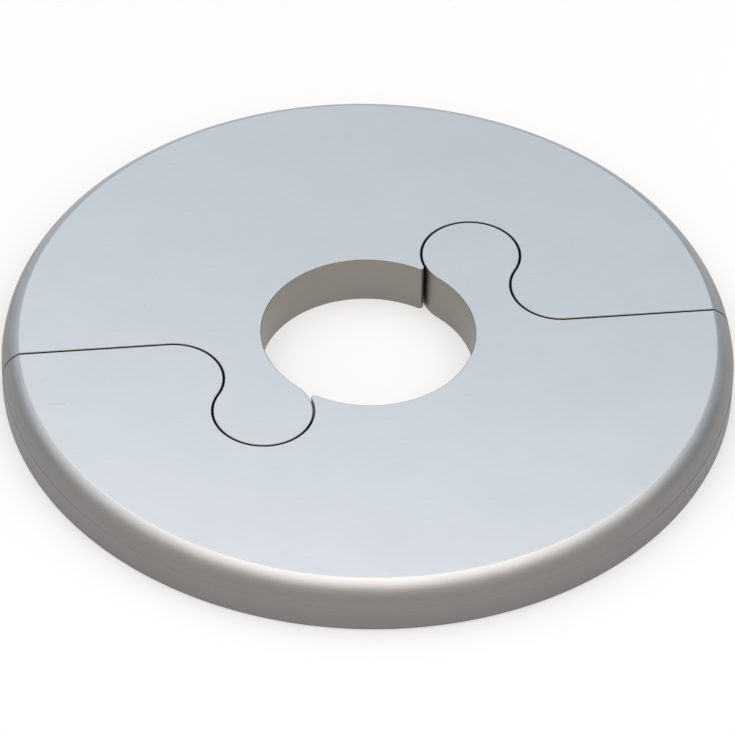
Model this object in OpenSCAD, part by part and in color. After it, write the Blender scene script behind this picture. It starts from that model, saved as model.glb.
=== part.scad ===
// Two-part rosette that closes round a heating pipe and covers the hole it comes through.
//
// Both halves are one and the same shape, turned half a turn about the pipe's axis. Seen from above,
// the joint line comes in straight from the rim, curls into a hollow neck and then round the head of
// a hooked tongue that ends at the hole. Each half has one such tongue and one socket for the other
// half's. The halves drop into each other along the pipe and then can't be pulled apart sideways.
//
// The origin is on the pipe's axis, on the flat face that lies on the floor or wall. The straight
// stretches of the joint line lie along X, and +Z is the way the pipe comes out. Millimetres.

/* [Ring] */
// Outer diameter of the closed rosette
outer_d = 82; // [72:1:120]
// Diameter of the hole for the pipe
bore_d = 24; // [16:0.5:28]
// Thickness, from the flat back to the flat front
thickness = 6; // [4:0.5:10]

/* [Outer edge] */
// Radius of the rounding that takes off the front edge
round_r = 3.3; // [3.1:0.1:6]
// How far below the front the rounding reaches, less than its radius so that it leaves a fine arris
round_depth = 3; // [1:0.1:3]
// Width of the fine ledge left where the rounding ends on the plain wall
ledge = 0.05; // [0.02:0.01:0.3]
// Size of the bevel that breaks the back edge
back_bevel = 0.2; // [0.1:0.05:0.6]

/* [Joint line] */
// Width of the gap between the halves, the same all along the joint line
joint_gap = 0.2; // [0.1:0.02:0.4]
// Radius of the tongue's round head, to the middle of the gap
head_r = 5.6; // [4.5:0.1:6.2]
// Radius of the hollow beside the tongue's neck, to the middle of the gap
neck_r = 5.6; // [4.5:0.1:6.2]
// Angle at the pipe's axis from the straight joint line to the middle of the head
head_angle = 42; // [38:0.5:46]
// How far the circle of the head crosses the hole's edge, which opens the socket's mouth
head_nip = 0.1; // [0.05:0.05:0.4]
// Radius of the rounded horn where the socket's wall runs out into the hole
horn_r = 0.4; // [0.3:0.05:0.8]

/* [Hidden] */

$fn = 128;
outer_r = outer_d / 2;
bore_r = bore_d / 2;
half_gap = joint_gap / 2;
spare = 1; // what a cutting or bounding shape reaches past what it shapes
meet = 0.001; // how far two circles that touch are let into each other, so they meet in one clean edge

// The head's circle lies against the hole's, and the neck's circle touches both the head's circle
// and the straight joint line, so the line runs through all three without a kink.
head_reach = bore_r + head_r - head_nip;
head_at = head_reach * [cos(head_angle), sin(head_angle)];
head_to_neck = head_r + neck_r - meet;
neck_at = [head_at.x + sqrt(pow(head_to_neck, 2) - pow(head_at.y - neck_r, 2)), neck_r];

// The horn's circle touches the hole's and the socket's from outside.
horn_to_axis = bore_r + horn_r - meet;
horn_to_head = head_r + half_gap + horn_r - meet;
horn_turn = acos(
    (pow(horn_to_axis, 2) + pow(head_reach, 2) - pow(horn_to_head, 2)) / (2 * horn_to_axis * head_reach)
);
horn_at = horn_to_axis * [cos(head_angle + horn_turn), sin(head_angle + horn_turn)];

finish = [0.78, 0.81, 0.84];

// Section of the outer edge, from the axis out: plain wall below, rounding above, fine arris on top.
module disc_section() {
    round_foot = thickness - round_depth;
    round_centre = outer_r - ledge - round_r;
    intersection() {
        square([outer_r, thickness]);
        union() {
            square([round_centre, thickness]);
            translate([round_centre, round_foot]) circle(r = round_r);
            difference() {
                square([outer_r, round_foot]);
                translate([outer_r, 0]) rotate(45) square(back_bevel * sqrt(2), center = true);
            }
        }
    }
}

// The whole rosette before the hole and the joint line are cut.
module disc() {
    rotate_extrude() disc_section();
}

// Everything on the rear side of the straight joint line.
module rear_side() {
    translate([-outer_r - spare, half_gap]) square([2 * (outer_r + spare), outer_r + spare]);
}

// Outline of the front half's tongue. A positive grow gives the socket for it, a negative one the
// tongue itself.
module tongue(grow) {
    difference() {
        polygon([[0, -spare], [neck_at.x, -spare], neck_at, head_at, [0, 0]]);
        translate(neck_at) circle(r = neck_r - grow);
    }
    translate(head_at) circle(r = head_r + grow);
}

// The thin end of the socket's wall, up to where the horn's circle touches its two sides.
module sharp_horn() {
    polygon([[0, 0], head_at, horn_at]);
}

// Outline of the rear half: its side of the joint line, its own tongue, the socket and the hole.
module half_outline() {
    difference() {
        union() {
            rear_side();
            rotate(180) tongue(-half_gap);
        }
        tongue(half_gap);
        circle(r = bore_r);
        sharp_horn();
    }
    translate(horn_at) circle(r = horn_r);
}

module rosette_half() {
    color(finish) intersection() {
        disc();
        translate([0, 0, -spare]) linear_extrude(height = thickness + 2 * spare) half_outline();
    }
}

module rear_half() {
    rosette_half();
}

module front_half() {
    rotate([0, 0, 180]) rosette_half();
}

rear_half();
front_half();
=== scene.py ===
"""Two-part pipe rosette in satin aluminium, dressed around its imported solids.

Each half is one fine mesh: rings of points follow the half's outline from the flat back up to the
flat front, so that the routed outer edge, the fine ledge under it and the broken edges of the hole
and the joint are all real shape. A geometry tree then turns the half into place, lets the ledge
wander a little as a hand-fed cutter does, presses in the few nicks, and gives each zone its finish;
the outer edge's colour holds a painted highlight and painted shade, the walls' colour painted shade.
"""

import math

import bpy
import numpy as np
from mathutils import Matrix, Vector
from mathutils.geometry import delaunay_2d_cdt


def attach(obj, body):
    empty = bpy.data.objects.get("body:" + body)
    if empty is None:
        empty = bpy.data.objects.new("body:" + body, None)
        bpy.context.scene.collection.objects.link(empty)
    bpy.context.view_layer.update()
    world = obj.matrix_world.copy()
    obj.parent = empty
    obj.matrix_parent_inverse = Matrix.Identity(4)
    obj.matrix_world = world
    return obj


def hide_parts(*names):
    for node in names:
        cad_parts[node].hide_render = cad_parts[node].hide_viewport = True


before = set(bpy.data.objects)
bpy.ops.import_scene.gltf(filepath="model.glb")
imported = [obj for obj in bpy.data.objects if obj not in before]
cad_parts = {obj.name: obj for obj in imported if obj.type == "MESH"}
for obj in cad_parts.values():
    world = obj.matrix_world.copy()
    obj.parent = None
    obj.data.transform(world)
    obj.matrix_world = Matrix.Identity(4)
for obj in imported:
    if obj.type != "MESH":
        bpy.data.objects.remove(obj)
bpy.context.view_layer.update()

MM = 0.001

# Sizes of the closed rosette, in millimetres, as the solids have them.
OUTER_R = 41.0
BORE_R = 12.0
THICKNESS = 6.0
ROUND_R = 3.3
ROUND_DEPTH = 3.0
LEDGE = 0.05
BACK_BEVEL = 0.2
HALF_GAP = 0.1
HEAD_R = 5.6
NECK_R = 5.6
HEAD_ANGLE = math.radians(42)
HEAD_NIP = 0.1
HORN_R = 0.4

# Fine edges that only the mesh has, in millimetres.
EDGE_BREAK = 0.08
ARRIS_R = 0.4
LEDGE_LIP = 0.012

# How closely the points stand along the outline, in millimetres.
RIM_STEP = 0.25
WALL_STEP = 0.25
HORN_STEP = 0.05
NICK_STEP = 0.05
FACE_STEP = 2.5

# How far to each side of a nick the points stand closer, in millimetres.
NICK_MARGIN = 0.4

# Points of a flat face closer than this, in millimetres, are one point.
SAME_POINT = 1e-7

# How many rings stand on each stretch of the edge, counted with both its ends.
BREAK_RINGS = 5
BEVEL_RINGS = 3
PLAIN_RINGS = 15
LIP_RINGS = 4
ROUND_RINGS = 26
FRONT_RINGS = 7

# Angle up the rounding, in radians, at which its first ring stands.
FIRST_TURN = 0.004

# How the fine ledge wanders, in millimetres: by how much, over what length, how far above and below
# itself it takes the surface along, and how far in from the outside that starts and is full.
LEDGE_WANDER = 0.16
WANDER_LENGTH = 9.0
WANDER_REACH = 1.8
WANDER_START = 2.5
WANDER_FULL = 1.0
WANDER_SEED = 4.0

ZONES = ("face", "rim", "wall", "back")
FACE_ZONE, RIM_ZONE, WALL_ZONE, BACK_ZONE = range(len(ZONES))

# Nicks in the outer edge: angle about the pipe in degrees, height, radius and depth in millimetres.
NICKS = (
    (-99.9, 3.7, 0.22, 0.030),
    (-95.5, 3.7, 0.20, 0.025),
    (-93.6, 2.35, 0.22, 0.030),
    (-104.5, 1.4, 0.16, 0.020),
    (-71.0, 4.1, 0.18, 0.020),
    (-128.0, 2.0, 0.20, 0.022),
)

HEAD_REACH = BORE_R + HEAD_R - HEAD_NIP
HEAD_AT = HEAD_REACH * np.array([math.cos(HEAD_ANGLE), math.sin(HEAD_ANGLE)])
HEAD_TO_NECK = HEAD_R + NECK_R
NECK_AT = np.array(
    [HEAD_AT[0] + math.sqrt(HEAD_TO_NECK**2 - (HEAD_AT[1] - NECK_R) ** 2), NECK_R]
)
NECK_TURN = math.atan2(NECK_AT[1] - HEAD_AT[1], NECK_AT[0] - HEAD_AT[0])
HORN_TO_AXIS = BORE_R + HORN_R
HORN_TO_HEAD = HEAD_R + HALF_GAP + HORN_R
HORN_ANGLE = HEAD_ANGLE + math.acos(
    (HORN_TO_AXIS**2 + HEAD_REACH**2 - HORN_TO_HEAD**2) / (2 * HORN_TO_AXIS * HEAD_REACH)
)
HORN_AT = HORN_TO_AXIS * np.array([math.cos(HORN_ANGLE), math.sin(HORN_ANGLE)])
HORN_TURN = math.atan2(HEAD_AT[1] - HORN_AT[1], HEAD_AT[0] - HORN_AT[0])


def rim_radius(z):
    """Radius of the outer edge at height z: bevel, plain wall, then the rounding and its arris."""
    foot = THICKNESS - ROUND_DEPTH
    if z < BACK_BEVEL:
        return OUTER_R - (BACK_BEVEL - z)
    if z <= foot:
        return OUTER_R
    centre = OUTER_R - LEDGE - ROUND_R
    arris_z = THICKNESS - ARRIS_R
    arris_x = centre + math.sqrt((ROUND_R - ARRIS_R) ** 2 - (arris_z - foot) ** 2)
    arris_from = foot + ROUND_R * (arris_z - foot) / (ROUND_R - ARRIS_R)
    if z < arris_from:
        return centre + math.sqrt(ROUND_R**2 - (z - foot) ** 2)
    return arris_x + math.sqrt(max(ARRIS_R**2 - (z - arris_z) ** 2, 0))


def wall_inset(z):
    """How far the hole's and the joint's walls step back at height z, on their broken edges."""
    reach = min(z, THICKNESS - z)
    if reach >= EDGE_BREAK:
        return 0.0
    return EDGE_BREAK - math.sqrt(EDGE_BREAK**2 - (EDGE_BREAK - reach) ** 2)


def ring_levels():
    """Height, rim radius and wall inset of every ring, from the back up to the face."""
    foot = THICKNESS - ROUND_DEPTH
    quarter = math.pi / 2
    heights = [EDGE_BREAK * (1 - math.cos(t)) for t in np.linspace(0, quarter, BREAK_RINGS)]
    heights += list(np.linspace(EDGE_BREAK, BACK_BEVEL, BEVEL_RINGS)[1:])
    heights += list(np.linspace(BACK_BEVEL, foot - LEDGE_LIP, PLAIN_RINGS)[1:])
    rows = [(z, rim_radius(z), wall_inset(z)) for z in heights]
    for turn in np.linspace(0, quarter, LIP_RINGS)[1:]:
        rise = LEDGE_LIP * math.sin(turn)
        rows.append((foot - LEDGE_LIP + rise, OUTER_R - LEDGE_LIP * (1 - math.cos(turn)), 0.0))
    slope_end = math.asin((THICKNESS - EDGE_BREAK - foot) / ROUND_R)
    turns = np.linspace(FIRST_TURN, slope_end, ROUND_RINGS)
    rounding = [foot + ROUND_R * math.sin(t) for t in turns]
    turns = np.linspace(0, quarter, FRONT_RINGS)[1:]
    edge = [THICKNESS - EDGE_BREAK * (1 - math.sin(t)) for t in turns]
    rows += [(z, rim_radius(z), wall_inset(z)) for z in rounding + edge]
    return rows


def spaced(start, end, radius, step):
    """Angles from start to end that stand about step apart on an arc of that radius."""
    count = max(2, int(round(abs(end - start) * radius / step)) + 1)
    return np.linspace(start, end, count)


def rim_shares():
    """Places along the rim as shares from its right end to its left, closer at the nicks."""
    half_nick = NICK_MARGIN / OUTER_R
    least_step = 0.6 * NICK_STEP
    shares = list(spaced(0, math.pi, OUTER_R, RIM_STEP))
    for angle, _, _, _ in NICKS:
        turned = math.radians(angle) % math.pi
        shares += list(
            np.arange(turned - half_nick, turned + half_nick, NICK_STEP / OUTER_R)
        )
    shares = np.unique(np.round(np.array(shares) / math.pi, 7))
    kept = [0.0]
    for share in shares[(shares > 0) & (shares < 1)]:
        if (share - kept[-1]) * math.pi * OUTER_R > least_step:
            kept.append(float(share))
    return np.array([*kept, 1.0])


def half_outline(rim_r, inset, shares):
    """Plan of the rear half on one ring, anticlockwise, with the zone of each stretch."""
    side = HALF_GAP + inset
    corner = math.asin(side / rim_r)
    half_turn = math.pi
    rim_angles = corner + shares * (half_turn - 2 * corner)
    parts = [(rim_r * np.stack([np.cos(rim_angles), np.sin(rim_angles)], 1), RIM_ZONE)]
    corner_x = rim_r * math.cos(corner)
    straight = np.linspace(0, 1, int((OUTER_R - NECK_AT[0]) / WALL_STEP) + 1)

    def line(x):
        parts.append((np.stack([x, np.full_like(x, side)], 1), WALL_ZONE))

    def arc(centre, nominal_r, radius, start, end, step=WALL_STEP):
        """A round stretch, with as many points as its nominal radius takes, on every ring alike."""
        angles = spaced(start, end, nominal_r, step)
        plan = centre + radius * np.stack([np.cos(angles), np.sin(angles)], 1)
        parts.append((plan, WALL_ZONE))

    line(-corner_x + straight * (corner_x - NECK_AT[0]))
    arc(-NECK_AT, NECK_R, NECK_R + side, half_turn / 2, NECK_TURN)
    arc(-HEAD_AT, HEAD_R, HEAD_R - side, half_turn + NECK_TURN, 2 * half_turn + HEAD_ANGLE)
    arc(np.zeros(2), BORE_R, BORE_R + inset, half_turn + HEAD_ANGLE, HORN_ANGLE)
    horn_end = 2 * half_turn + HORN_TURN
    arc(HORN_AT, HORN_R, HORN_R - inset, half_turn + HORN_ANGLE, horn_end, HORN_STEP)
    arc(HEAD_AT, HEAD_R, HEAD_R + side, half_turn + HORN_TURN, NECK_TURN)
    arc(NECK_AT, NECK_R, NECK_R - side, half_turn + NECK_TURN, 1.5 * half_turn)
    line(NECK_AT[0] + straight * (corner_x - NECK_AT[0]))

    points, zones = [parts[0][0]], [np.full(len(parts[0][0]) - 1, parts[0][1])]
    for stretch, zone in parts[1:]:
        points.append(stretch[1:])
        zones.append(np.full(len(stretch) - 1, zone))
    points = np.concatenate(points)[:-1]
    return points, np.concatenate(zones)


def flat_fill(ring):
    """Triangles and inner points that fill a ring's plan, as even as a flat sheet's mesh."""
    low, high = ring.min(0), ring.max(0)
    xs = np.arange(low[0], high[0], FACE_STEP)
    ys = np.arange(low[1], high[1], FACE_STEP * math.sqrt(3) / 2)
    grid = np.array(
        [(x + FACE_STEP / 2 * (row % 2), y) for row, y in enumerate(ys) for x in xs]
    )
    clear = np.array(
        [np.min(np.hypot(*(ring - point).T)) > FACE_STEP / 2 for point in grid]
    )
    points = [Vector(p) for p in ring] + [Vector(p) for p in grid[clear]]
    made = delaunay_2d_cdt(points, [], [list(range(len(ring)))], 1, SAME_POINT, True)
    # sources: the given points that a point came from; owners: the outline that a triangle is in.
    coords, triangles, sources, owners = made[0], made[2], made[3], made[5]
    inside = [triangle for triangle, owner in zip(triangles, owners) if owner]
    return coords, inside, [ids[0] if ids else None for ids in sources]


def half_mesh():
    """The rear half as a closed mesh in metres, with its zone on every face."""
    rows = ring_levels()
    shares = rim_shares()
    rings = []
    for z, rim_r, inset in rows:
        plan, zones = half_outline(rim_r, inset, shares)
        rings.append(np.column_stack([plan, np.full(len(plan), z)]))
    count = len(rings[0])
    verts = list(np.concatenate(rings))
    faces, face_zones, smooth = [], [], []
    for level in range(len(rows) - 1):
        low, high = level * count, (level + 1) * count
        for i in range(count):
            j = (i + 1) % count
            faces.append((low + i, low + j, high + j, high + i))
            face_zones.append(int(zones[i]))
            smooth.append(True)
    for level, zone, upward in ((0, BACK_ZONE, False), (len(rows) - 1, FACE_ZONE, True)):
        ring = rings[level][:, :2]
        coords, triangles, source = flat_fill(ring)
        index = []
        for point, ids in zip(coords, source):
            if ids is not None and ids < count:
                index.append(level * count + ids)
            else:
                index.append(len(verts))
                verts.append(np.array([point.x, point.y, rows[level][0]]))
        for tri in triangles:
            corners = [index[k] for k in tri]
            faces.append(tuple(corners if upward else corners[::-1]))
            face_zones.append(zone)
            smooth.append(False)
    used = sorted({k for face in faces for k in face})
    new_index = {old: new for new, old in enumerate(used)}
    verts = np.array(verts)[used] * MM
    faces = [tuple(new_index[k] for k in face) for face in faces]
    mesh = bpy.data.meshes.new("rosette_half")
    mesh.from_pydata(verts.tolist(), [], faces)
    mesh.polygons.foreach_set("use_smooth", smooth)
    zone_of = mesh.attributes.new("zone", "INT", "FACE")
    zone_of.data.foreach_set("value", face_zones)
    corner_columns = {0, len(shares) - 1}
    sharp = [
        edge.vertices[0] % count in corner_columns
        and edge.vertices[0] % count == edge.vertices[1] % count
        and max(edge.vertices) < len(rows) * count
        for edge in mesh.edges
    ]
    mark = mesh.attributes.new("sharp_edge", "BOOLEAN", "EDGE")
    mark.data.foreach_set("value", sharp)
    mesh.validate()
    mesh.update()
    return mesh


def link(tree, source, target):
    tree.links.new(source, target)


def math_node(tree, operation, *values):
    """One Math node. Each value is a number or a socket."""
    node = tree.nodes.new("ShaderNodeMath")
    node.operation = operation
    for socket, value in zip(node.inputs, values):
        if isinstance(value, (int, float)):
            socket.default_value = value
        else:
            link(tree, value, socket)
    return node.outputs[0]


def smooth_range(tree, value, low, high, out_low=0.0, out_high=1.0):
    """A Map Range node that goes smoothly from out_low at low to out_high at high."""
    node = tree.nodes.new("ShaderNodeMapRange")
    node.interpolation_type = "SMOOTHSTEP"
    link(tree, value, node.inputs["Value"])
    node.inputs["From Min"].default_value = low
    node.inputs["From Max"].default_value = high
    node.inputs["To Min"].default_value = out_low
    node.inputs["To Max"].default_value = out_high
    return node.outputs["Result"]


def nick_group():
    """A geometry tree that presses one shallow round nick into what it is given."""
    tree = bpy.data.node_groups.new("nick", "GeometryNodeTree")
    sockets = tree.interface
    sockets.new_socket("Geometry", in_out="INPUT", socket_type="NodeSocketGeometry")
    sockets.new_socket("Centre", in_out="INPUT", socket_type="NodeSocketVector")
    sockets.new_socket("Radius", in_out="INPUT", socket_type="NodeSocketFloat")
    sockets.new_socket("Depth", in_out="INPUT", socket_type="NodeSocketFloat")
    sockets.new_socket("Geometry", in_out="OUTPUT", socket_type="NodeSocketGeometry")
    given = tree.nodes.new("NodeGroupInput")
    result = tree.nodes.new("NodeGroupOutput")
    place = tree.nodes.new("GeometryNodeInputPosition")
    apart = tree.nodes.new("ShaderNodeVectorMath")
    apart.operation = "DISTANCE"
    link(tree, place.outputs[0], apart.inputs[0])
    link(tree, given.outputs["Centre"], apart.inputs[1])
    share = math_node(tree, "DIVIDE", apart.outputs["Value"], given.outputs["Radius"])
    fade = smooth_range(tree, share, 0.0, 1.0, 1.0, 0.0)
    push = math_node(tree, "MULTIPLY", fade, given.outputs["Depth"])
    push = math_node(tree, "MULTIPLY", push, -1.0)
    normal = tree.nodes.new("GeometryNodeInputNormal")
    along = tree.nodes.new("ShaderNodeVectorMath")
    along.operation = "SCALE"
    link(tree, normal.outputs[0], along.inputs[0])
    link(tree, push, along.inputs["Scale"])
    move = tree.nodes.new("GeometryNodeSetPosition")
    link(tree, given.outputs["Geometry"], move.inputs["Geometry"])
    link(tree, along.outputs[0], move.inputs["Offset"])
    link(tree, move.outputs[0], result.inputs[0])
    return tree


def half_tree(finishes):
    """The geometry tree that places a half, lets its ledge wander, nicks it and finishes it."""
    tree = bpy.data.node_groups.new("rosette_half", "GeometryNodeTree")
    sockets = tree.interface
    sockets.new_socket("Geometry", in_out="INPUT", socket_type="NodeSocketGeometry")
    sockets.new_socket("Turn about the pipe", in_out="INPUT", socket_type="NodeSocketFloat")
    sockets.new_socket("Ledge wander", in_out="INPUT", socket_type="NodeSocketFloat")
    sockets.new_socket("Wander length", in_out="INPUT", socket_type="NodeSocketFloat")
    sockets.new_socket("Seed", in_out="INPUT", socket_type="NodeSocketFloat")
    sockets.new_socket("Geometry", in_out="OUTPUT", socket_type="NodeSocketGeometry")
    given = tree.nodes.new("NodeGroupInput")
    result = tree.nodes.new("NodeGroupOutput")

    turn = tree.nodes.new("ShaderNodeCombineXYZ")
    link(tree, given.outputs["Turn about the pipe"], turn.inputs["Z"])
    place = tree.nodes.new("GeometryNodeTransform")
    link(tree, given.outputs["Geometry"], place.inputs["Geometry"])
    link(tree, turn.outputs[0], place.inputs["Rotation"])

    at = tree.nodes.new("GeometryNodeInputPosition")
    parts = tree.nodes.new("ShaderNodeSeparateXYZ")
    link(tree, at.outputs[0], parts.inputs[0])
    plan = tree.nodes.new("ShaderNodeCombineXYZ")
    link(tree, parts.outputs["X"], plan.inputs["X"])
    link(tree, parts.outputs["Y"], plan.inputs["Y"])
    reach = tree.nodes.new("ShaderNodeVectorMath")
    reach.operation = "LENGTH"
    link(tree, plan.outputs[0], reach.inputs[0])
    noise = tree.nodes.new("ShaderNodeTexNoise")
    noise.noise_dimensions = "4D"
    noise.inputs["Detail"].default_value = 2.0
    link(tree, plan.outputs[0], noise.inputs["Vector"])
    link(tree, given.outputs["Seed"], noise.inputs["W"])
    frequency = math_node(tree, "DIVIDE", 1.0, given.outputs["Wander length"])
    link(tree, frequency, noise.inputs["Scale"])
    wander = math_node(tree, "SUBTRACT", noise.outputs[0], 0.5)
    wander = math_node(tree, "MULTIPLY", wander, given.outputs["Ledge wander"])
    foot = (THICKNESS - ROUND_DEPTH) * MM
    fade = WANDER_REACH * MM
    above = smooth_range(tree, parts.outputs["Z"], foot, foot + fade, 1.0, 0.0)
    below = smooth_range(tree, parts.outputs["Z"], foot - fade, foot)
    near_rim = smooth_range(
        tree,
        reach.outputs["Value"],
        (OUTER_R - WANDER_START) * MM,
        (OUTER_R - WANDER_FULL) * MM,
    )
    lift = wander
    for share in (above, below, near_rim):
        lift = math_node(tree, "MULTIPLY", lift, share)
    rise = tree.nodes.new("ShaderNodeCombineXYZ")
    link(tree, lift, rise.inputs["Z"])
    move = tree.nodes.new("GeometryNodeSetPosition")
    link(tree, place.outputs[0], move.inputs["Geometry"])
    link(tree, rise.outputs[0], move.inputs["Offset"])

    shaped = move.outputs[0]
    nick = nick_group()
    for angle, z, radius, depth in NICKS:
        pressed = tree.nodes.new("GeometryNodeGroup")
        pressed.node_tree = nick
        turned, at_r = math.radians(angle), rim_radius(z)
        pressed.inputs["Centre"].default_value = (
            at_r * math.cos(turned) * MM,
            at_r * math.sin(turned) * MM,
            z * MM,
        )
        pressed.inputs["Radius"].default_value = radius * MM
        pressed.inputs["Depth"].default_value = depth * MM
        link(tree, shaped, pressed.inputs["Geometry"])
        shaped = pressed.outputs[0]

    real = tree.nodes.new("GeometryNodeRealizeInstances")
    link(tree, shaped, real.inputs[0])
    shaped = real.outputs[0]
    zone = tree.nodes.new("GeometryNodeInputNamedAttribute")
    zone.data_type = "INT"
    zone.inputs["Name"].default_value = "zone"
    for number, name in enumerate(ZONES):
        same = tree.nodes.new("FunctionNodeCompare")
        same.data_type = "INT"
        same.operation = "EQUAL"
        numbers = [s for s in same.inputs if s.type == "INT"]
        link(tree, zone.outputs["Attribute"], numbers[0])
        numbers[1].default_value = number
        coat = tree.nodes.new("GeometryNodeSetMaterial")
        link(tree, shaped, coat.inputs["Geometry"])
        link(tree, same.outputs[0], coat.inputs["Selection"])
        coat.inputs["Material"].default_value = finishes[name]
        shaped = coat.outputs[0]
    link(tree, shaped, result.inputs[0])
    return tree


def make_half(name, body, node, turn, mesh, tree):
    """One half, turned into place by the tree, on its body and in place of its solid."""
    maker = bpy.data.objects.new(name + "_maker", mesh)
    bpy.context.scene.collection.objects.link(maker)
    modifier = maker.modifiers.new("half", "NODES")
    modifier.node_group = tree
    values = {
        "Turn about the pipe": turn,
        "Ledge wander": LEDGE_WANDER * MM,
        "Wander length": WANDER_LENGTH * MM,
        "Seed": WANDER_SEED,
    }
    for item in tree.interface.items_tree:
        if item.item_type == "SOCKET" and item.in_out == "INPUT" and item.name in values:
            modifier[item.identifier] = values[item.name]
    maker.update_tag()
    graph = bpy.context.evaluated_depsgraph_get()
    made = bpy.data.meshes.new_from_object(
        maker.evaluated_get(graph), preserve_all_data_layers=True, depsgraph=graph
    )
    made.name = name
    bpy.data.objects.remove(maker)
    half = bpy.data.objects.new(name, made)
    bpy.context.scene.collection.objects.link(half)
    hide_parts(node)
    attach(half, body)
    return half


class Finish:
    """A material whose pattern is built from Object coordinates given in millimetres."""

    def __init__(self, name):
        self.material = bpy.data.materials.new(name)
        self.material.use_nodes = True
        self.tree = self.material.node_tree
        self.shader = self.tree.nodes["Principled BSDF"]
        self.shader.inputs["Metallic"].default_value = 1.0
        where = self.tree.nodes.new("ShaderNodeTexCoord")
        scale = self.tree.nodes.new("ShaderNodeVectorMath")
        scale.operation = "SCALE"
        scale.inputs["Scale"].default_value = 1 / MM
        link(self.tree, where.outputs["Object"], scale.inputs[0])
        self.at = scale.outputs[0]
        parts = self.tree.nodes.new("ShaderNodeSeparateXYZ")
        link(self.tree, self.at, parts.inputs[0])
        self.x, self.y, self.z = parts.outputs

    def noise(self, size, detail=2.0, turn=0.0, shift=0.0):
        """Noise from 0 to 1 whose grains are about size (x, y, z) millimetres."""
        mapping = self.tree.nodes.new("ShaderNodeMapping")
        mapping.inputs["Scale"].default_value = [1 / s for s in size]
        mapping.inputs["Rotation"].default_value = (0.0, 0.0, turn)
        mapping.inputs["Location"].default_value = (shift, shift, shift)
        link(self.tree, self.at, mapping.inputs["Vector"])
        node = self.tree.nodes.new("ShaderNodeTexNoise")
        node.inputs["Scale"].default_value = 1.0
        node.inputs["Detail"].default_value = detail
        link(self.tree, mapping.outputs[0], node.inputs["Vector"])
        return node.outputs[0]

    def spread(self, value, amount):
        """The value, centred on nothing and scaled to plus or minus about half the amount."""
        return math_node(
            self.tree, "MULTIPLY", math_node(self.tree, "SUBTRACT", value, 0.5), amount
        )

    def total(self, *values):
        """The sum of numbers and sockets."""
        made = values[0]
        for value in values[1:]:
            made = math_node(self.tree, "ADD", made, value)
        return made

    def spot(self, x, y, z, size, soft=0.6):
        """1 inside an ellipsoid of half-sizes size at a place in millimetres, fading to 0 outside."""
        mapping = self.tree.nodes.new("ShaderNodeMapping")
        mapping.vector_type = "TEXTURE"
        mapping.inputs["Location"].default_value = (x, y, z)
        mapping.inputs["Scale"].default_value = size
        link(self.tree, self.at, mapping.inputs["Vector"])
        reach = self.tree.nodes.new("ShaderNodeVectorMath")
        reach.operation = "LENGTH"
        link(self.tree, mapping.outputs[0], reach.inputs[0])
        return smooth_range(self.tree, reach.outputs["Value"], 1 - soft, 1.0, 1.0, 0.0)

    def ramp(self, value, stops):
        """Colours at places between 0 and 1."""
        node = self.tree.nodes.new("ShaderNodeValToRGB")
        band = node.color_ramp
        for place, _ in stops[2:]:
            band.elements.new(place)
        for element, (place, colour) in zip(band.elements, stops):
            element.position = place
            element.color = (*colour, 1.0)
        link(self.tree, value, node.inputs[0])
        return node.outputs[0]

    def shaded(self, colour, level):
        """The colour times one plus level."""
        node = self.tree.nodes.new("ShaderNodeVectorMath")
        node.operation = "SCALE"
        if isinstance(colour, tuple):
            node.inputs[0].default_value = colour
        else:
            link(self.tree, colour, node.inputs[0])
        link(self.tree, math_node(self.tree, "ADD", 1.0, level), node.inputs["Scale"])
        return node.outputs[0]

    def dress(self, colour, roughness, height, depth):
        """Give the shader the colour, the roughness and a bump depth millimetres deep."""
        link(self.tree, colour, self.shader.inputs["Base Color"])
        link(self.tree, roughness, self.shader.inputs["Roughness"])
        bump = self.tree.nodes.new("ShaderNodeBump")
        bump.inputs["Strength"].default_value = 1.0
        bump.inputs["Distance"].default_value = depth * MM
        link(self.tree, height, bump.inputs["Height"])
        link(self.tree, bump.outputs[0], self.shader.inputs["Normal"])
        return self.material


FACE_COLOUR = (0.78, 0.81, 0.84)
# Warm grey of the hole's and the joint's walls: partly their own tone, made darker as painted shade.
WALL_TONE_AND_PAINTED_SHADE = (0.29, 0.275, 0.25)
FACE_ROUGHNESS = 0.30
EDGE_ROUGHNESS = 0.48
WALL_ROUGHNESS = 0.42
BACK_COLOUR = (0.62, 0.63, 0.64)
BACK_ROUGHNESS = 0.48

# Marks on the face: place x, y and half-sizes along x and y in millimetres, and change of shade.
FACE_MARKS = (
    (-35.3, -8.5, 1.0, 0.07, -0.30),
    (-22.8, 11.9, 0.14, 0.12, -0.20),
    (-24.5, 6.5, 0.12, 0.12, -0.18),
    (-19.4, 30.5, 0.30, 0.10, -0.10),
    (10.1, -11.4, 0.25, 0.10, -0.12),
    (-1.6, -18.0, 0.9, 0.09, -0.08),
    (1.6, -18.1, 0.9, 0.09, 0.06),
)

# Colour of the outer edge by its height, from the back at 0 to the front at 1. This is painted light:
# painted shade, darkest at the foot and dark up the plain wall and lower rounding, rising to a painted
# highlight on the upper rounding under the arris.
RIM_PAINTED_LIGHT_COLOURS = (
    (0.0, (0.185, 0.177, 0.172)),
    (0.06, (0.250, 0.243, 0.239)),
    (0.596, (0.260, 0.253, 0.249)),
    (0.688, (0.270, 0.262, 0.258)),
    (0.775, (0.311, 0.302, 0.297)),
    (0.839, (0.354, 0.345, 0.339)),
    (0.882, (0.428, 0.421, 0.418)),
    (0.921, (0.535, 0.532, 0.534)),
    (0.956, (0.619, 0.619, 0.625)),
    (0.986, (0.670, 0.670, 0.677)),
)


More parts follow.
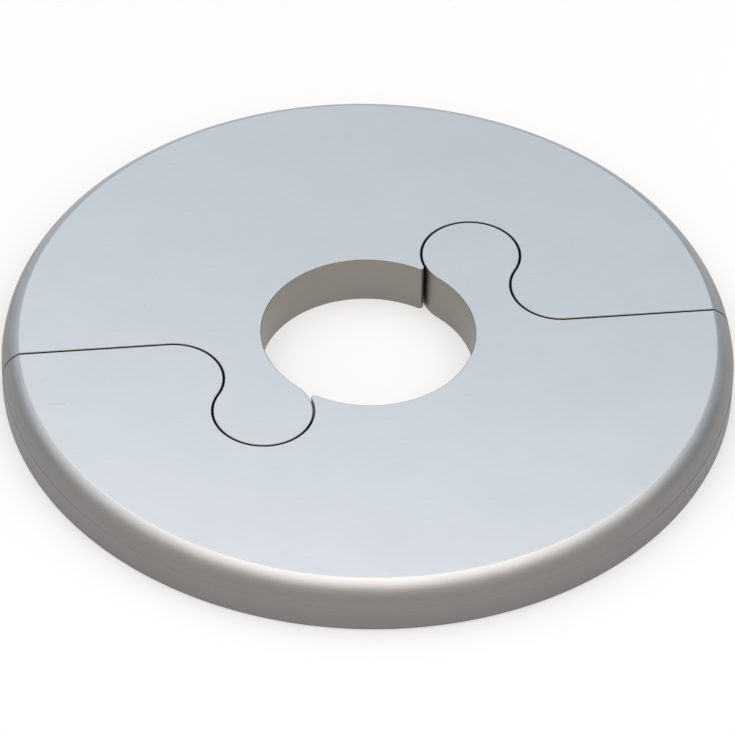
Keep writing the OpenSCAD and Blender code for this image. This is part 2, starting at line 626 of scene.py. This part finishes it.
def face_finish():
    """Satin-ground flat front: short faint streaks along X, soft clouds and a few marks."""
    made = Finish("satin_face")
    streaks = made.noise((2.2, 0.32, 3.0), 3.0)
    grain = made.noise((0.5, 0.4, 0.5), 2.0, shift=7.0)
    clouds = made.noise((9.0, 6.0, 9.0), 2.0, shift=3.0)
    level = made.total(
        made.spread(streaks, 0.05), made.spread(grain, 0.03), made.spread(clouds, 0.035)
    )
    for x, y, half_x, half_y, change in FACE_MARKS:
        mark = made.spot(x, y, THICKNESS, (half_x, half_y, 1.0))
        level = made.total(level, math_node(made.tree, "MULTIPLY", mark, change))
    roughness = made.total(
        FACE_ROUGHNESS, made.spread(streaks, 0.05), made.spread(clouds, 0.03)
    )
    height = made.total(streaks, math_node(made.tree, "MULTIPLY", grain, 0.6))
    return made.dress(made.shaded(FACE_COLOUR, level), roughness, height, 0.004)


def rim_finish():
    """Outer edge with fine lines, grain and patches; its colour by height paints shade down the wall and
    at the foot and a highlight on top of the rounding.
    """
    made = Finish("rim_painted_light")
    lines = made.noise((3.0, 3.0, 0.16), 3.0)
    grain = made.noise((0.45, 0.45, 0.3), 2.0, shift=5.0)
    patches = made.noise((6.0, 6.0, 1.6), 2.0, shift=2.0)
    share = math_node(made.tree, "DIVIDE", made.z, THICKNESS)
    wavy = made.total(share, made.spread(patches, 0.03))
    # painted light: the ramp by height paints shade low on the edge and a highlight on the upper rounding
    colour = made.ramp(wavy, RIM_PAINTED_LIGHT_COLOURS)
    level = made.total(
        made.spread(lines, 0.08), made.spread(grain, 0.06), made.spread(patches, 0.05)
    )
    roughness = made.total(EDGE_ROUGHNESS, made.spread(lines, 0.06))
    height = made.total(lines, math_node(made.tree, "MULTIPLY", grain, 0.6))
    return made.dress(made.shaded(colour, level), roughness, height, 0.006)


def wall_finish():
    """Walls of the hole and the joint as the cutter left them, with fine lines round them; their dark
    colour is partly their own warm grey and mostly painted shade.
    """
    made = Finish("cut_wall_and_painted_shade")
    lines = made.noise((2.5, 2.5, 0.18), 3.0)
    grain = made.noise((0.4, 0.4, 0.35), 2.0, shift=5.0)
    patches = made.noise((4.0, 4.0, 1.5), 2.0, shift=2.0)
    level = made.total(
        made.spread(lines, 0.08), made.spread(grain, 0.08), made.spread(patches, 0.06)
    )
    roughness = made.total(WALL_ROUGHNESS, made.spread(lines, 0.06))
    height = made.total(lines, math_node(made.tree, "MULTIPLY", grain, 0.6))
    # the walls' colour carries painted shade
    return made.dress(made.shaded(WALL_TONE_AND_PAINTED_SHADE, level), roughness, height, 0.006)


def back_finish():
    """Flat back as rolled: duller than the face, with soft clouds."""
    made = Finish("mill_back")
    lines = made.noise((6.0, 0.5, 6.0), 3.0)
    clouds = made.noise((7.0, 5.0, 7.0), 3.0, shift=4.0)
    level = made.total(made.spread(lines, 0.08), made.spread(clouds, 0.10))
    roughness = made.total(BACK_ROUGHNESS, made.spread(clouds, 0.10))
    return made.dress(made.shaded(BACK_COLOUR, level), roughness, lines, 0.004)


# Where the photograph was taken from. Distance and raise are in metres, lens and sensor in millimetres.
CAMERA_AZIMUTH = math.radians(-7.4)
CAMERA_ELEVATION = math.radians(42.90)
CAMERA_ROLL = math.radians(1.363)
CAMERA_DISTANCE = 0.68872
CAMERA_RAISE = 0.000371
CAMERA_LENS = 299.93
CAMERA_SENSOR = 36.0

# Level directions across the photograph and away from the camera.
RIGHT = Vector((math.cos(CAMERA_AZIMUTH), math.sin(CAMERA_AZIMUTH), 0.0))
AHEAD = Vector((-math.sin(CAMERA_AZIMUTH), math.cos(CAMERA_AZIMUTH), 0.0))


def photo_camera():
    """The camera at the photograph's angle, distance and slight tilt."""
    back = (
        Vector((0, 0, 1)) * math.sin(CAMERA_ELEVATION) - AHEAD * math.cos(CAMERA_ELEVATION)
    )
    up = back.cross(RIGHT)
    turned_right = RIGHT * math.cos(CAMERA_ROLL) + up * math.sin(CAMERA_ROLL)
    turned_up = up * math.cos(CAMERA_ROLL) - RIGHT * math.sin(CAMERA_ROLL)
    data = bpy.data.cameras.new("photo_camera")
    data.lens = CAMERA_LENS
    data.sensor_width = CAMERA_SENSOR
    data.clip_start = 0.01
    data.clip_end = 100.0
    camera = bpy.data.objects.new("photo_camera", data)
    bpy.context.scene.collection.objects.link(camera)
    turn = Matrix((turned_right, turned_up, back)).transposed().to_4x4()
    camera.matrix_world = Matrix.Translation(back * CAMERA_DISTANCE + up * CAMERA_RAISE) @ turn
    bpy.context.scene.camera = camera


# The lamp's height and its reach from the rosette, in metres. Its light adds to the sky behind it.
SOFTBOX_HEIGHT = 0.35
SOFTBOX_AHEAD = 0.241
SOFTBOX_BEHIND = 0.383
SOFTBOX_LEFT = 0.211
SOFTBOX_RIGHT = 0.348
SOFTBOX_TURN = CAMERA_AZIMUTH - 0.106
SOFTBOX_RADIANCE = 1.09
SOFTBOX_TINT = (1.0, 0.899, 0.831)


def softbox():
    """One wide soft lamp overhead, reaching from a little behind the rosette to over the camera."""
    data = bpy.data.lights.new("softbox", "AREA")
    data.shape = "RECTANGLE"
    data.size = SOFTBOX_LEFT + SOFTBOX_RIGHT
    data.size_y = SOFTBOX_AHEAD + SOFTBOX_BEHIND
    data.energy = SOFTBOX_RADIANCE * math.pi * data.size * data.size_y
    data.color = SOFTBOX_TINT
    lamp = bpy.data.objects.new("softbox", data)
    bpy.context.scene.collection.objects.link(lamp)
    middle = Vector(
        (
            (SOFTBOX_RIGHT - SOFTBOX_LEFT) / 2,
            (SOFTBOX_AHEAD - SOFTBOX_BEHIND) / 2,
            SOFTBOX_HEIGHT,
        )
    )
    lamp.matrix_world = Matrix.Rotation(SOFTBOX_TURN, 4, "Z") @ Matrix.Translation(middle)


# The sky's colours: behind the rosette and before it as the camera sees it, low down and higher up.
BEHIND_LEFT = (0.204, 0.273, 0.372)
BEHIND_RIGHT = (0.098, 0.170, 0.226)
BEHIND_HIGH_LEFT = (1.012, 1.031, 1.043)
BEHIND_HIGH_RIGHT = (0.356, 0.425, 0.480)
BEFORE_LOW = (0.809, 0.725, 0.656)
BEFORE_HIGH = (0.611, 0.639, 0.634)

# Where those colours pass into each other: by the height, and by the turn to the side and ahead.
SKY_LOW = 0.2
SKY_HIGH = 0.75
SIDE_REACH = 0.7
AHEAD_REACH = 0.35


def studio_world():
    """Soft walls of light: dim and cool low behind the rosette, pale before it and higher up."""
    world = bpy.data.worlds.new("studio")
    bpy.context.scene.world = world
    world.use_nodes = True
    tree = world.node_tree
    background = tree.nodes["Background"]
    where = tree.nodes.new("ShaderNodeTexCoord")
    parts = tree.nodes.new("ShaderNodeSeparateXYZ")
    link(tree, where.outputs["Generated"], parts.inputs[0])

    def along(direction, reach):
        node = tree.nodes.new("ShaderNodeVectorMath")
        node.operation = "DOT_PRODUCT"
        node.inputs[1].default_value = direction
        link(tree, where.outputs["Generated"], node.inputs[0])
        return smooth_range(tree, node.outputs["Value"], -reach, reach)

    def blend(share, first, second):
        node = tree.nodes.new("ShaderNodeMix")
        node.data_type = "RGBA"
        link(tree, share, node.inputs["Factor"])
        colours = [socket for socket in node.inputs if socket.type == "RGBA"]
        for socket, colour in zip(colours, (first, second)):
            if isinstance(colour, tuple):
                socket.default_value = (*colour, 1.0)
            else:
                link(tree, colour, socket)
        return next(socket for socket in node.outputs if socket.type == "RGBA")

    height = smooth_range(tree, parts.outputs["Z"], SKY_LOW, SKY_HIGH)
    sideways = along(RIGHT, SIDE_REACH)
    behind_low = blend(sideways, BEHIND_LEFT, BEHIND_RIGHT)
    behind_high = blend(sideways, BEHIND_HIGH_LEFT, BEHIND_HIGH_RIGHT)
    behind = blend(height, behind_low, behind_high)
    before = blend(height, BEFORE_LOW, BEFORE_HIGH)
    sky = blend(along(AHEAD, AHEAD_REACH), before, behind)
    link(tree, sky, background.inputs["Color"])
    background.inputs["Strength"].default_value = 1.0


FLOOR_SIZE = 6.0
FLOOR_ALBEDO = 0.50
FLOOR_GLOW = 0.465


def pale_floor():
    """A plain pale floor. Part of its white is its own, so that shadows on it stay light."""
    half = FLOOR_SIZE / 2
    mesh = bpy.data.meshes.new("floor")
    mesh.from_pydata(
        [(-half, -half, 0), (half, -half, 0), (half, half, 0), (-half, half, 0)],
        [],
        [(0, 1, 2, 3)],
    )
    floor = bpy.data.objects.new("floor", mesh)
    bpy.context.scene.collection.objects.link(floor)
    material = bpy.data.materials.new("pale_floor")
    material.use_nodes = True
    tree = material.node_tree
    shader = tree.nodes["Principled BSDF"]
    shader.inputs["Base Color"].default_value = (FLOOR_ALBEDO,) * 3 + (1.0,)
    shader.inputs["Roughness"].default_value = 1.0
    shader.inputs["Specular IOR Level"].default_value = 0.0
    ray = tree.nodes.new("ShaderNodeLightPath")
    seen = math_node(
        tree,
        "MAXIMUM",
        ray.outputs["Is Camera Ray"],
        math_node(
            tree, "MAXIMUM", ray.outputs["Is Glossy Ray"], ray.outputs["Is Transmission Ray"]
        ),
    )
    shader.inputs["Emission Color"].default_value = (1.0, 1.0, 1.0, 1.0)
    glow = math_node(tree, "MULTIPLY", seen, FLOOR_GLOW)
    link(tree, glow, shader.inputs["Emission Strength"])
    mesh.materials.append(material)


def build():
    photo_camera()
    studio_world()
    softbox()
    pale_floor()
    finishes = {
        "face": face_finish(),
        "rim": rim_finish(),
        "wall": wall_finish(),
        "back": back_finish(),
    }
    mesh = half_mesh()
    tree = half_tree(finishes)
    make_half("rear_plate", "rear_half", "rear_half", 0.0, mesh, tree)
    make_half("front_plate", "front_half", "front_half", math.pi, mesh, tree)
    bpy.data.meshes.remove(mesh)


build()
bpy.context.scene.view_settings.view_transform = "Standard"
